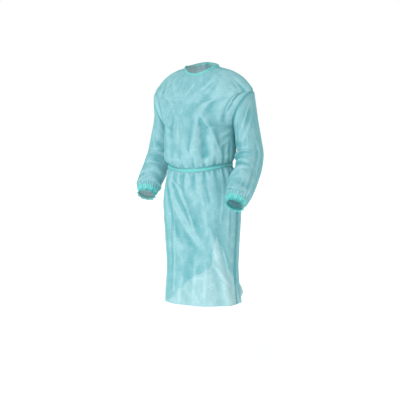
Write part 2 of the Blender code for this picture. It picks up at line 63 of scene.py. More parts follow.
# The body's level sections, from the neck to the hem. The z columns are heights at the side, at the middle of
# the front and of the back; left, right, front and back are distances from the origin; square is 2 for an
# oval and more for a squarer section; steps is how many rows of points lead to it from the section above.
ARMHOLE_TOP_Z = -0.112
UNDERARM_Z = -0.272
ARMHOLE_TOP_X = {"left": 0.251, "right": 0.232}
UNDERARM_X = {"left": 0.168, "right": 0.168}
ARMHOLE_HALF_DEPTH = 0.078
ARMHOLE_STEPS = 40
HEM_Z = -1.09
BODY_COLUMNS = ("side_z", "front_z", "back_z", "left", "right", "front", "back", "square", "steps")
BODY = {
    "neck": (0.000, -0.042, 0.018, 0.084, 0.081, 0.088, 0.052, 2.0, 0),
    "yoke_high": (-0.009, -0.062, -0.006, 0.126, 0.115, 0.100, 0.070, 2.0, 6),
    "yoke_middle": (-0.026, -0.086, -0.036, 0.168, 0.154, 0.113, 0.084, 2.0, 6),
    "yoke_low": (-0.052, -0.112, -0.070, 0.207, 0.188, 0.127, 0.093, 2.0, 7),
    "shoulder": (-0.081, -0.136, -0.102, 0.234, 0.213, 0.138, 0.099, 2.0, 5),
    "seam_top": (ARMHOLE_TOP_Z, -0.162, -0.134, 0.251, 0.232, 0.146, 0.102, 2.0, 5),
    "underarm": (UNDERARM_Z, -0.278, -0.262, 0.168, 0.168, 0.166, 0.098, 2.3, ARMHOLE_STEPS),
    "rib": (-0.335, -0.350, -0.326, 0.164, 0.164, 0.172, 0.092, 2.4, 12),
    "blouse": (-0.400, -0.424, -0.380, 0.162, 0.163, 0.170, 0.086, 2.4, 12),
    "belt_over": (-0.437, -0.462, -0.412, 0.150, 0.153, 0.149, 0.071, 2.2, 10),
    "belt": (-0.445, -0.470, -0.420, 0.149, 0.152, 0.148, 0.070, 2.2, 2),
    "belt_under": (-0.453, -0.478, -0.428, 0.150, 0.153, 0.149, 0.071, 2.2, 2),
    "gathers": (-0.500, -0.522, -0.478, 0.165, 0.163, 0.152, 0.098, 2.2, 12),
    "hip": (-0.620, -0.632, -0.612, 0.180, 0.174, 0.148, 0.130, 2.2, 18),
    "thigh": (-0.780, -0.785, -0.778, 0.173, 0.166, 0.137, 0.130, 2.1, 20),
    "knee": (-0.930, -0.932, -0.929, 0.166, 0.159, 0.128, 0.127, 2.1, 20),
    "hem": (HEM_Z, HEM_Z, HEM_Z, 0.180, 0.169, 0.136, 0.138, 2.1, 24),
}
LEVEL = {name: number for number, name in enumerate(BODY)}
FRONT_COLUMNS = 160
BACK_COLUMNS = 84

# The largest folds, as in the solids. A share is how far round a panel, 0 at its centre line and 1 at its
# side edge, or -1 at the front's right edge. A positive depth stands out, a negative one is a trough.
FOLD_COLUMNS = ("panel", "top_z", "bottom_z", "top_share", "bottom_share", "width", "depth")
FOLDS = (
    ("front", -0.060, -0.260, 0.70, 0.76, 0.040, -0.009),
    ("front", -0.060, -0.260, -0.70, -0.76, 0.040, -0.007),
    ("front", -0.050, -0.240, 0.56, 0.10, 0.050, 0.009),
    ("front", -0.180, -0.420, 0.24, 0.06, 0.045, 0.010),
    ("front", -0.190, -0.420, 0.26, 0.56, 0.050, 0.009),
    ("front", -0.230, -0.430, 0.24, 0.32, 0.050, -0.009),
    ("front", -0.240, -0.420, -0.45, -0.35, 0.050, 0.006),
    ("front", -0.490, -0.800, -0.46, 0.12, 0.045, 0.012),
    ("front", -0.500, -0.800, -0.60, -0.20, 0.045, -0.009),
    ("front", -0.520, -1.090, -0.86, -0.72, 0.055, 0.011),
    ("front", -0.620, -1.090, 0.10, -0.10, 0.080, -0.011),
    ("front", -0.780, -1.090, 0.42, 0.74, 0.050, 0.009),
    ("front", -0.500, -1.090, 0.62, 0.50, 0.070, -0.008),
    ("left_back", -0.520, -1.090, 0.80, 0.84, 0.070, 0.010),
    ("left_back", -0.500, -1.090, 0.60, 0.58, 0.060, -0.012),
    ("left_back", -0.120, -0.400, 0.60, 0.40, 0.060, 0.009),
    ("right_back", -0.520, -1.090, 0.74, 0.80, 0.070, 0.010),
    ("right_back", -0.500, -1.090, 0.56, 0.54, 0.060, -0.012),
    ("right_back", -0.120, -0.400, 0.60, 0.40, 0.060, 0.009),
    ("left_back", -0.090, -0.290, 0.74, 0.80, 0.045, -0.008),
    ("right_back", -0.090, -0.290, 0.74, 0.80, 0.045, -0.008),
)
PANEL_REACH = 0.25

# Finer creases: each runs from one place of a panel to another, and its depth's sign makes it a ridge or a
# trough. The columns are the panel, a share and a height at each end, the width and the depth.
CREASES = (
    ("front", 0.54, -0.032, 0.16, -0.108, 0.010, 0.0030),
    ("front", 0.46, -0.050, 0.20, -0.127, 0.009, 0.0026),
    ("front", 0.42, -0.062, 0.22, -0.112, 0.008, -0.0022),
    ("front", 0.06, -0.072, -0.06, -0.135, 0.007, 0.0016),
    ("front", -0.50, -0.040, -0.20, -0.130, 0.010, 0.0026),
    ("front", -0.62, -0.052, -0.38, -0.160, 0.011, -0.0024),
    ("front", 0.22, -0.205, 0.08, -0.375, 0.008, 0.0050),
    ("front", 0.24, -0.205, 0.60, -0.385, 0.008, 0.0046),
    ("front", 0.24, -0.240, 0.34, -0.400, 0.012, -0.0034),
    ("front", 0.05, -0.300, 0.02, -0.430, 0.009, -0.0030),
    ("front", 0.46, -0.300, 0.66, -0.420, 0.009, 0.0026),
    ("front", -0.16, -0.240, -0.10, -0.400, 0.012, 0.0028),
    ("front", -0.34, -0.200, -0.26, -0.330, 0.014, -0.0026),
    ("front", -0.60, -0.260, -0.30, -0.300, 0.011, 0.0026),
    ("front", -0.66, -0.300, -0.44, -0.400, 0.011, 0.0030),
    ("front", 0.68, -0.060, 0.76, -0.215, 0.009, 0.0044),
    ("front", 0.75, -0.075, 0.82, -0.225, 0.010, -0.0052),
    ("front", 0.92, -0.118, 0.74, -0.180, 0.009, 0.0036),
    ("front", 0.90, -0.160, 0.80, -0.230, 0.009, 0.0030),
    ("front", 0.86, -0.290, 0.62, -0.310, 0.010, 0.0034),
    ("front", 0.88, -0.320, 0.60, -0.360, 0.009, 0.0026),
    ("front", 0.90, -0.350, 0.72, -0.420, 0.009, -0.0030),
    ("front", -0.90, -0.140, -0.78, -0.230, 0.010, 0.0036),
    ("front", -0.88, -0.300, -0.64, -0.340, 0.010, 0.0030),
    ("front", -0.34, -0.510, -0.12, -0.560, 0.007, 0.0046),
    ("front", -0.12, -0.560, -0.02, -0.645, 0.008, 0.0052),
    ("front", -0.02, -0.645, 0.07, -0.740, 0.008, 0.0042),
    ("front", -0.20, -0.540, -0.04, -0.630, 0.007, 0.0028),
    ("front", -0.28, -0.560, -0.38, -1.030, 0.008, 0.0040),
    ("front", -0.36, -0.540, -0.48, -1.020, 0.010, -0.0036),
    ("front", 0.60, -0.819, 0.78, -0.938, 0.009, 0.0042),
    ("front", 0.44, -0.908, 0.76, -0.993, 0.010, 0.0040),
    ("front", 0.36, -0.740, 0.50, -0.880, 0.012, 0.0026),
    ("front", 0.20, -0.560, 0.30, -0.760, 0.012, 0.0026),
    ("front", 0.30, -0.540, 0.34, -0.620, 0.009, -0.0026),
    ("front", 0.62, -0.540, 0.56, -0.700, 0.011, 0.0030),
    ("front", 0.80, -0.560, 0.78, -0.820, 0.011, -0.0032),
    ("front", -0.70, -0.560, -0.66, -0.900, 0.012, -0.0032),
    ("front", 0.08, -0.860, 0.04, -1.080, 0.014, 0.0026),
    ("front", 0.28, -0.900, 0.24, -1.085, 0.013, 0.0030),
    ("front", -0.18, -0.940, -0.24, -1.085, 0.013, 0.0026),
    ("front", 0.02, -0.700, 0.30, -0.730, 0.012, 0.0014),
    ("front", -0.20, -0.800, 0.10, -0.812, 0.010, -0.0012),
    ("front", 0.10, -0.960, 0.40, -0.950, 0.012, 0.0014),
    ("left_back", 0.90, -0.150, 0.60, -0.200, 0.012, 0.0032),
    ("left_back", 0.88, -0.290, 0.50, -0.330, 0.012, 0.0034),
    ("left_back", 0.60, -0.100, 0.36, -0.220, 0.013, 0.0028),
    ("left_back", 0.30, -0.240, 0.24, -0.390, 0.012, -0.0030),
    ("left_back", 0.70, -0.360, 0.64, -0.410, 0.010, 0.0030),
    ("left_back", 0.40, -0.520, 0.30, -0.900, 0.014, 0.0034),
    ("left_back", 0.74, -0.540, 0.72, -1.000, 0.013, 0.0038),
    ("left_back", 0.90, -0.560, 0.94, -1.050, 0.012, 0.0034),
    ("left_back", 0.56, -0.700, 0.50, -1.060, 0.012, -0.0032),
    ("left_back", 0.66, -0.960, 0.50, -1.060, 0.011, 0.0030),
    ("right_back", 0.88, -0.160, 0.58, -0.210, 0.012, 0.0030),
    ("right_back", 0.90, -0.300, 0.56, -0.350, 0.012, 0.0036),
    ("right_back", 0.54, -0.110, 0.34, -0.240, 0.013, 0.0026),
    ("right_back", 0.36, -0.260, 0.40, -0.400, 0.012, -0.0028),
    ("right_back", 0.66, -0.540, 0.70, -0.960, 0.013, 0.0036),
    ("right_back", 0.44, -0.530, 0.36, -0.860, 0.014, 0.0030),
    ("right_back", 0.86, -0.580, 0.90, -1.040, 0.012, 0.0034),
    ("right_back", 0.80, -0.900, 0.72, -1.060, 0.011, -0.0030),
)

# The gathers that the belt draws up, and how uneven they are.
GATHER_WAVES = 5.0
GATHER_DEPTH = 0.0045
GATHER_FALL = 0.026
GATHER_DRIFT = 0.9
LAP_FLAT = 0.25
FINE_GATHER_WAVES = 11.0
FINE_GATHER_DEPTH = 0.0016

# The small dents of the cloth.
CRUMPLE_DEPTH = 0.0014
FINE_CRUMPLE_DEPTH = 0.0003

# The back opening. Free edges are shares of a back panel: below 0 the edge is past the centre line.
LAP_LIFT = 0.0036
LAP_EDGE = 0.0005
LAP_FROM_Z = -0.06
LAP_FULL_Z = -0.15
OPENING_COLUMNS = ("level", "left_edge", "right_edge")
OPENING = (
    ("neck", -0.012, 0.000),
    ("seam_top", -0.020, 0.000),
    ("underarm", -0.10, -0.10),
    ("belt", -0.20, -0.20),
    ("hip", -0.12, -0.16),
    ("knee", 0.18, 0.02),
    ("hem", 0.34, 0.60),
)
FLAP_FROM_Z = -0.86
FLAP_OUT = 0.078
LEFT_HEM_RISE = 0.022
RIGHT_HEM_RISE = 0.045

# The sleeves, from the armhole oval to the gathered end, as in the solids.
SLEEVE_COLUMNS = ("x", "y", "z", "across", "fore_aft", "steps")
SLEEVES = {
    "left": {
        "armhole": (0.2090, 0.000, -0.192, 0.050, 0.078, 0),
        "upper_arm": (0.2190, 0.012, -0.285, 0.052, 0.076, 18),
        "elbow": (0.2270, 0.026, -0.390, 0.058, 0.080, 22),
        "forearm": (0.2380, -0.045, -0.485, 0.056, 0.068, 24),
        "puff": (0.2380, -0.118, -0.562, 0.057, 0.062, 20),
        "gathered_end": (0.2370, -0.150, -0.598, 0.050, 0.054, 12),
    },
    "right": {
        "armhole": (0.2000, 0.000, -0.192, 0.048, 0.078, 0),
        "upper_arm": (0.2120, 0.026, -0.285, 0.052, 0.076, 18),
        "elbow": (0.2320, 0.045, -0.385, 0.058, 0.080, 22),
        "forearm": (0.2480, 0.005, -0.470, 0.056, 0.070, 24),
        "puff": (0.2530, -0.048, -0.537, 0.056, 0.064, 20),
        "gathered_end": (0.2500, -0.070, -0.568, 0.048, 0.053, 12),
    },
}
ARMHOLE_BLEND = 2.0
FRAME_REACH = 0.5
SLEEVE_POINTS = 160
SLEEVE_FOLD_COLUMNS = ("station", "angle", "along", "round", "depth")
SLEEVE_FOLDS = (
    (1.90, 180.0, 0.28, 75.0, -0.010),
    (2.25, 170.0, 0.22, 70.0, 0.008),
    (1.55, 110.0, 0.30, 50.0, -0.006),
    (2.70, 120.0, 0.35, 55.0, -0.007),
    (3.40, 150.0, 0.30, 60.0, 0.007),
    (3.90, 60.0, 0.35, 50.0, -0.007),
    (4.20, 200.0, 0.30, 55.0, 0.006),
    (3.00, 330.0, 1.60, 24.0, 0.007),
    (0.80, 40.0, 0.45, 40.0, -0.007),
)
STATION_LENGTH = 0.105
TURN_LENGTH = 0.00115

# A sleeve's finer creases. The columns are the side, a station and an angle at each end, the width and the
# depth.
SLEEVE_CREASES = (
    ("left", 1.60, 20.0, 2.70, 16.0, 0.007, 0.0040),
    ("left", 2.70, 16.0, 3.10, 8.0, 0.007, 0.0038),
    ("left", 3.10, 8.0, 4.86, 18.0, 0.007, 0.0040),
    ("left", 1.70, 30.0, 4.60, 28.0, 0.009, -0.0026),
    ("left", 2.30, 150.0, 2.20, 70.0, 0.008, 0.0050),
    ("left", 2.42, 140.0, 2.36, 60.0, 0.007, -0.0046),
    ("left", 2.62, 160.0, 2.80, 62.0, 0.008, 0.0052),
    ("left", 2.86, 150.0, 3.00, 50.0, 0.008, -0.0044),
    ("left", 3.20, 140.0, 3.05, 54.0, 0.008, 0.0036),
    ("left", 3.55, 150.0, 3.40, 90.0, 0.007, -0.0030),
    ("left", 4.02, 150.0, 4.34, 96.0, 0.007, 0.0046),
    ("left", 4.20, 150.0, 4.50, 100.0, 0.007, -0.0040),
    ("left", 0.45, 30.0, 1.10, 100.0, 0.009, 0.0036),
    ("left", 0.80, 20.0, 1.40, 84.0, 0.009, 0.0030),
    ("left", 0.30, 100.0, 1.50, 120.0, 0.010, -0.0030),
    ("left", 1.20, 60.0, 2.00, 70.0, 0.010, 0.0026),
    ("left", 3.60, 60.0, 4.60, 80.0, 0.009, 0.0030),
    ("left", 4.40, 40.0, 4.90, 60.0, 0.007, -0.0028),
    ("left", 2.20, 260.0, 2.40, 330.0, 0.010, -0.0030),
    ("left", 1.00, 300.0, 2.20, 310.0, 0.010, 0.0034),
    ("left", 3.20, 280.0, 4.40, 300.0, 0.010, 0.0034),
    ("right", 1.50, 20.0, 2.80, 14.0, 0.008, 0.0038),
    ("right", 2.80, 14.0, 4.80, 24.0, 0.008, 0.0036),
    ("right", 2.10, 170.0, 2.30, 80.0, 0.008, 0.0040),
    ("right", 2.50, 160.0, 2.60, 70.0, 0.008, -0.0036),
    ("right", 2.90, 150.0, 3.10, 60.0, 0.008, 0.0036),
    ("right", 3.50, 120.0, 3.80, 40.0, 0.009, 0.0034),
    ("right", 4.00, 110.0, 4.70, 60.0, 0.008, -0.0034),
    ("right", 3.40, 60.0, 4.60, 84.0, 0.010, 0.0030),
    ("right", 0.60, 40.0, 1.60, 80.0, 0.010, 0.0030),
    ("right", 2.30, 250.0, 2.50, 330.0, 0.010, -0.0030),
    ("right", 1.20, 300.0, 2.20, 312.0, 0.010, 0.0032),
    ("right", 3.30, 290.0, 4.40, 300.0, 0.010, 0.0032),
)
END_GATHERS = 22
END_GATHER_DEPTH = 0.0017

# The cuffs: distance along the wrist, half sizes, and the depths of the ten large and the finer ruffle waves.
CUFF_COLUMNS = ("along", "across", "fore_aft", "wave", "fine")
CUFF = (
    (0.0000, 0.0480, 0.0530, 0.0000, 0.0012),
    (0.0045, 0.0468, 0.0512, 0.0009, 0.0014),
    (0.0090, 0.0450, 0.0490, 0.0018, 0.0014),
    (0.0130, 0.0424, 0.0462, 0.0020, 0.0012),
    (0.0170, 0.0395, 0.0430, 0.0020, 0.0010),
    (0.0195, 0.0380, 0.0412, 0.0014, 0.0008),
    (0.0220, 0.0370, 0.0400, 0.0012, 0.0008),
    (0.0245, 0.0386, 0.0416, 0.0020, 0.0012),
    (0.0275, 0.0406, 0.0436, 0.0028, 0.0016),
    (0.0300, 0.0420, 0.0450, 0.0034, 0.0020),
)
CUFF_BLEND = 0.009
CUFF_WAVES = 10
CUFF_FINE_WAVES = 27
CUFF_POINTS = 240

# The neck binding, a strip folded over the neck edge: each row of its section is a share of its height and a
# distance outwards.
BINDING_WIDTH = 0.011
BINDING_LEAN = 0.35
BINDING_SECTION = (
    (0.98, -0.0017),
    (0.995, -0.0010),
    (1.0, -0.0004),
    (0.98, 0.0003),
    (0.86, 0.0008),
    (0.62, 0.0009),
    (0.36, 0.0006),
    (0.20, 0.0001),
    (0.06, 0.0006),
    (-0.02, 0.0002),
)
BINDING_RIPPLE = 0.0005

# The belt, a folded strip of the same cloth that its own tension has creased lengthwise and partly twisted.
# Each row of its section is a share of its half width, -1 at its lower edge, and a distance out.
BELT_WIDTH = 0.016
BELT_OUT = 0.0019
BELT_SECTION = (
    (-0.55, -0.0009),
    (-0.90, -0.0007),
    (-1.00, 0.0000),
    (-0.88, 0.0010),
    (-0.60, 0.0015),
    (-0.34, 0.0009),
    (-0.08, 0.0017),
    (0.22, 0.0020),
    (0.46, 0.0012),
    (0.70, 0.0016),
    (0.90, 0.0009),
    (1.00, 0.0000),
    (0.90, -0.0007),
    (0.55, -0.0009),
)
BELT_TURNS = 5

# Creases and dents start this far from the belt's middle and are whole at the second distance.
BELT_CLEAR = (0.008, 0.030)

# Relief is taken against points so many grid steps away, each with a weight. The material paints it
# as shade in troughs and as highlight on ridges, most at the second value.
RELIEF_REACHES = ((3, 1.0), (7, 0.35))
RELIEF_FULL_SHADE = 0.0030

# Along a sewn edge the cloth is doubled over this width, and looks deeper by this much of its colour ramp.
SEAM_BAND = 0.010
SEAM_TINT = 0.55

# Seams: how wide the turned-in allowance is, how far inside it lies, and the puckers along the stitching.
ALLOWANCE_SHARE = 0.042
ALLOWANCE_IN = 0.0008
ALLOWANCE_ROWS = 5
PUCKER_PITCH = 0.017
PUCKER_DEPTH = 0.0005
PUCKER_REACH = 0.016

# Ties and knots behind.
TIE_COLUMNS = ("name", "knot_x", "start_z", "end_x", "end_z", "width")
TIES = (
    ("neck_tie_end_left", 0.0066, 0.0125, 0.030, -0.175, 0.012),
    ("neck_tie_end_right", -0.0066, 0.0125, -0.024, -0.190, 0.012),
    ("waist_tie_end_left", 0.0090, -0.4345, 0.036, -0.690, 0.016),
    ("waist_tie_end_right", -0.0090, -0.4345, -0.030, -0.735, 0.016),
)
TIE_OUT = 0.0022
TIE_STOPS = 12

# How far a tie end runs up into its knot, how far out it stands there and how near the middle it starts.
TIE_TUCK = 0.010
TIE_TUCK_OUT = 0.0045
TIE_TUCK_SHARE = 0.6
KNOT_COLUMNS = ("name", "y", "z", "half_x", "half_y", "half_z")
KNOTS = (
    ("neck_tie_knot", 0.0606, 0.0205, 0.0100, 0.0058, 0.0075),
    ("waist_tie_knot", 0.0852, -0.4200, 0.0180, 0.0085, 0.0140),
)
TIE_COLUMNS_ACROSS = 8
TIE_ROWS = 70
TIE_FOLD = 0.0014
KNOT_STEPS = 120
KNOT_SECTION = 12
KNOT_FOLD = 0.34

# Stitches: their spacing and size, how far in from a seam they run, and which row of the binding's section
# they follow.
STITCH_PITCH = 0.0036
STITCH_SHARE = 0.7
STITCH_RADIUS = 0.00018
STITCH_OUT = 0.0003
STITCH_IN_SHARE = 0.006
BINDING_STITCH_ROW = 7


def smooth_step(value, start, end):
    """0 before start and 1 after end, with a soft rise between them. end may lie below start."""
    share = min(1.0, max(0.0, (value - start) / (end - start)))
    return share * share * (3 - 2 * share)


def through(values, at):
    """A smooth curve through values that stand at 0, 1, 2 and so on, with no overshoot between them."""
    last = len(values) - 1
    at = min(max(at, 0.0), float(last))
    cell = min(int(at), last - 1)
    part = at - cell

    def slope(k):
        if k == 0 or k == last:
            k = min(max(k, 1), last)
            return values[k] - values[k - 1]
        before, after = values[k] - values[k - 1], values[k + 1] - values[k]
        return 0.0 if before * after <= 0 else 2 * before * after / (before + after)

    cube, square = part**3, part**2
    return (
        (2 * cube - 3 * square + 1) * values[cell]
        + (cube - 2 * square + part) * slope(cell)
        + (3 * square - 2 * cube) * values[cell + 1]
        + (cube - square) * slope(cell + 1)
    )


def row_at(table, columns, at):
    """Every named column of a table at a place between its rows."""
    rows = list(table.values())
    return {name: through([row[k] for row in rows], at) for k, name in enumerate(columns)}


@functools.lru_cache(maxsize=None)
def body_row(level):
    return row_at(BODY, BODY_COLUMNS, level)


def places(table, columns):
    """The places of the rows of points: each table row after the first adds its own number of steps."""
    found = [0.0]
    for number, row in enumerate(list(table.values())[1:], start=1):
        steps = row[columns.index("steps")]
        found += [number - 1 + k / steps for k in range(1, steps + 1)]
    return found


def signed_power(value, power):
    return math.copysign(abs(value) ** power, value)


def armhole_point(side, turn):
    """A point of an armhole, as if on the left: turn 0 at its top, 90 in front and 180 at the underarm."""
    angle = math.radians(turn)
    top = Vector((ARMHOLE_TOP_X[side], 0.0, ARMHOLE_TOP_Z))
    bottom = Vector((UNDERARM_X[side], 0.0, UNDERARM_Z))
    point = (top + bottom) / 2 + (top - bottom) / 2 * math.cos(angle)
    point.y = -ARMHOLE_HALF_DEPTH * math.sin(angle)
    return point


def panel_edge(side, level, row):
    """Where a panel ends at a side: on a seam, or on the armhole between its top and the underarm."""
    along = level - LEVEL["seam_top"]
    if 0 <= along <= 1:
        return armhole_point(side, 180 * along)
    return Vector((row[side], 0.0, row["side_z"]))


def fold_depth(panel, share, height):
    """How far the largest folds move a point of a panel outwards."""
    moved = 0.0
    for fold in FOLDS_OF[panel]:
        run = (height - fold["top_z"]) / (fold["bottom_z"] - fold["top_z"])
        if run < -0.12 or run > 1.12:
            continue
        centre = fold["top_share"] + (fold["bottom_share"] - fold["top_share"]) * run
        off = (share - centre) * PANEL_REACH / fold["width"]
        ends = smooth_step(run, -0.12, 0.22)
        if fold["bottom_z"] > HEM_Z:
            ends *= smooth_step(run, 1.12, 0.78)
        moved += fold["depth"] * ends * math.exp(-4 * off * off)
    return moved


def crease_depth(creases, x, z):
    """How far creases that run between two places move the point at x, z of the flattened cloth."""
    moved = 0.0
    for x_0, z_0, x_1, z_1, width, depth in creases:
        reach = 3 * width
        if x < min(x_0, x_1) - reach or x > max(x_0, x_1) + reach:
            continue
        if z < min(z_0, z_1) - reach or z > max(z_0, z_1) + reach:
            continue
        long_x, long_z = x_1 - x_0, z_1 - z_0
        run = ((x - x_0) * long_x + (z - z_0) * long_z) / (long_x**2 + long_z**2)
        held = min(1.0, max(0.0, run))
        off = math.hypot(x - x_0 - held * long_x, z - z_0 - held * long_z) / width
        moved += depth * (0.35 + 0.65 * math.sin(math.pi * held)) * math.exp(-1.6 * off**1.5)
    return moved


def gather_depth(panel, share, height, belt_z):
    """The waves that the belt draws up, none under it and fading above and below."""
    away = max(0.0, abs(height - belt_z) - BELT_WIDTH / 2) / GATHER_FALL
    drift = GATHER_DRIFT * math.sin(2.3 * math.pi * share + 0.7)
    wave = math.cos(2 * math.pi * GATHER_WAVES * share + drift)
    fine = math.cos(2 * math.pi * FINE_GATHER_WAVES * share + 2.2 * math.sin(5.1 * share + 1.0))
    uneven = 0.75 + 0.25 * math.sin(9.0 * share + 0.6)
    if panel != "front":
        off_lap = smooth_step(share, LAP_FLAT, LAP_FLAT + 0.2)
        wave *= off_lap
        fine *= off_lap
    large = GATHER_DEPTH * away * math.exp(1 - away) * wave
    near = 2.2 * away
    return large * uneven + FINE_GATHER_DEPTH * near * math.exp(1 - near) * fine


def section_point(panel, level, share):
    """A point on the outer side of the front or of a back panel, and its outward direction."""
    row = body_row(level)
    front = panel == "front"
    depth = row["front"] if front else row["back"]
    middle_z = row["front_z"] if front else row["back_z"]
    side = "right" if panel == "right_back" or (front and share < 0) else "left"
    edge = panel_edge(side, level, row)
    power = 2 / row["square"]
    edge_angle = math.acos(min(1.0, abs(edge.y) / depth) ** (1 / power))
    reach = edge.x / math.sin(edge_angle) ** power
    angle = edge_angle * share
    x = reach * signed_power(math.sin(angle), power)
    y = depth * math.cos(angle) ** power
    lean = (math.cos(angle) ** 2 - math.cos(edge_angle) ** 2) / math.sin(edge_angle) ** 2
    z = edge.z + (middle_z - edge.z) * lean
    out = Vector((x / reach**2, y / depth**2, 0)).normalized()
    belt = BODY["belt"]
    belt_z = belt[0] + (belt[1 if front else 2] - belt[0]) * lean
    at_edge = smooth_step(abs(share), 1.0, 0.84)
    clear_of_belt = smooth_step(abs(z - belt_z), *BELT_CLEAR)
    moved = fold_depth(panel, share, z) + gather_depth(panel, share, z, belt_z)
    moved += crease_depth(CREASES_OF[panel], share * PANEL_REACH, z) * clear_of_belt
    moved += crumple(x, z, len(panel)) * clear_of_belt
    moved = moved * at_edge + pucker((1 - abs(share)) * PANEL_REACH, level * 0.065)
    point = Vector((x, y, z)) + out * moved
    if front:
        point.y, out.y = -point.y, -out.y
    return point, out


def crumple(x, z, seed):
    """The small uneven dents of papery cloth, about 45 and 18 mm across."""
    large = noise.noise(Vector((x / 0.045, z / 0.060, seed)))
    small = noise.noise(Vector((x / 0.018, z / 0.022, seed + 7.3)))
    return CRUMPLE_DEPTH * large + FINE_CRUMPLE_DEPTH * small


def pucker(away, along):
    """The small ripples beside a seam, away from it and along it."""
    wave = math.sin(2 * math.pi * along / PUCKER_PITCH + 1.7 * math.sin(along * 41))
    return PUCKER_DEPTH * wave * smooth_step(away, PUCKER_REACH, 0.004) * smooth_step(away, 0.0, 0.002)


def free_edge(panel, level):
    """The share at which a back panel's free edge lies at a level."""
    column = OPENING_COLUMNS.index("left_edge" if panel == "left_back" else "right_edge")
    rows = [(LEVEL[row[0]], row[column]) for row in OPENING]
    for (start, first), (end, last) in zip(rows, rows[1:]):
        if level <= end:
            return first + (last - first) * smooth_step(level, start, end)
    return rows[-1][1]


def lap_lift(share, height):
    """The left back panel lies over the right one, so it stands out by this much near the centre line."""
    full = LAP_LIFT * smooth_step(height, LAP_FROM_Z, LAP_FULL_Z) * smooth_step(share, 0.62, 0.30)
    return full + LAP_EDGE * smooth_step(share, 0.10, 0.0)


def back_surface(level, share):
    """A point and its outward direction at the back, share 1 at the wearer's left edge, -1 at the right."""
    point, out = section_point("left_back" if share >= 0 else "right_back", level, abs(share))
    if share < 0:
        point.x, out.x = -point.x, -out.x
    return point, out


def back_point(panel, level, across):
    """A point of a back panel, across 0 at its side edge and 1 at its free edge."""
    edge = free_edge(panel, level)
    share = 1 + (edge - 1) * across
    if panel == "left_back":
        point, out = back_surface(level, share)
        low = smooth_step(point.z, FLAP_FROM_Z, HEM_Z)
        rise = Vector((0, 0, LEFT_HEM_RISE * low * across**2))
        return point + rise + out * (lap_lift(share, point.z) + FLAP_OUT * low * across**3)
    point, _ = back_surface(level, -share)
    low = smooth_step(point.z, BODY["knee"][0], HEM_Z)
    point.z += RIGHT_HEM_RISE * low * smooth_step(across, 0.25, 1.0)
    return point


@functools.lru_cache(maxsize=None)
def sleeve_frame(side, station):
    """The sizes and centre of a sleeve at a station, and its outward, backward and lengthwise directions."""
    row = row_at(SLEEVES[side], SLEEVE_COLUMNS, station)
    ahead = row_at(SLEEVES[side], SLEEVE_COLUMNS, station + FRAME_REACH)
    behind = row_at(SLEEVES[side], SLEEVE_COLUMNS, station - FRAME_REACH)
    along = Vector([ahead[k] - behind[k] for k in "xyz"]).normalized()
    outwards = (Vector((1, 0, 0)) - along * along.x).normalized()
    backwards = along.cross(outwards).normalized()
    if backwards.y < 0:
        backwards = -backwards
    return row, Vector([row[k] for k in "xyz"]), outwards, backwards, along


def ring_offset(row, outwards, backwards, turn, grow=0.0):
    angle = math.radians(turn)
    across = (row["across"] + grow) * math.cos(angle)
    return outwards * across - backwards * (row["fore_aft"] + grow) * math.sin(angle)


def sleeve_point(side, station, turn):
    """A point of a sleeve, as if on the left. Near the armhole the rings lean to meet its oval."""
    row, centre, outwards, backwards, _ = sleeve_frame(side, station)
    last = len(SLEEVES[side]) - 1
    turn = turn % 360
    moved = 0.0
    for fold in SLEEVE_FOLDS:
        fold = dict(zip(SLEEVE_FOLD_COLUMNS, fold))
        along = (station - fold["station"]) / fold["along"]
        turned = ((turn - fold["angle"] + 180) % 360 - 180) / fold["round"]
        moved += fold["depth"] * math.exp(-2 * along * along - 2 * turned * turned)
    fine = crease_depth(SLEEVE_CREASES_OF[side], turn * TURN_LENGTH, station * STATION_LENGTH)
    fine += crumple(math.sin(math.radians(turn)) * 0.07 + turn * 0.0001, station * STATION_LENGTH, len(side))
    moved = (moved + fine) * smooth_step(station, 0.0, 0.5) * smooth_step(station, last, last - 0.6)
    gather = math.cos(math.radians(turn) * END_GATHERS + 1.3 * math.sin(math.radians(3 * turn)))
    reach = 0.75 + 0.25 * math.sin(math.radians(4 * turn + 50))
    near_end = smooth_step(station, last - reach, last - 0.12) * smooth_step(station, last, last - 0.12)
    moved += END_GATHER_DEPTH * gather * near_end
    moved += pucker(station * STATION_LENGTH, turn * TURN_LENGTH)
    point = centre + ring_offset(row, outwards, backwards, turn, moved)
    first, start, first_out, first_back, _ = sleeve_frame(side, 0.0)
    lean = armhole_point(side, turn) - start - ring_offset(first, first_out, first_back, turn)
    return point + lean * (1 - smooth_step(station, 0.0, ARMHOLE_BLEND))


def cuff_point(side, row, turn):
    """A point of a cuff, which goes on from the sleeve's end, at that end's own size, along the wrist."""
    sleeve_end, end, outwards, backwards, along = sleeve_frame(side, len(SLEEVES[side]) - 1.0)
    first = dict(zip(CUFF_COLUMNS, CUFF[0]))
    as_sleeve = 1 - smooth_step(row["along"], 0.0, CUFF_BLEND)
    angle = math.radians(turn)
    wave = row["wave"] * math.cos(angle * CUFF_WAVES)
    fine = math.cos(angle * CUFF_FINE_WAVES + 1.1 * math.sin(2 * angle)) * smooth_step(row["along"], 0, 0.004)
    wave += row["fine"] * fine
    size = {key: row[key] + (sleeve_end[key] - first[key]) * as_sleeve for key in ("across", "fore_aft")}
    return end + along * row["along"] + ring_offset(size, outwards, backwards, turn, wave)


def mirrored(grid):
    """The same grid for the wearer's right side, its columns turned round so that it still faces outwards."""
    return [[Vector((-p.x, p.y, p.z)) for p in reversed(row)] for row in grid]


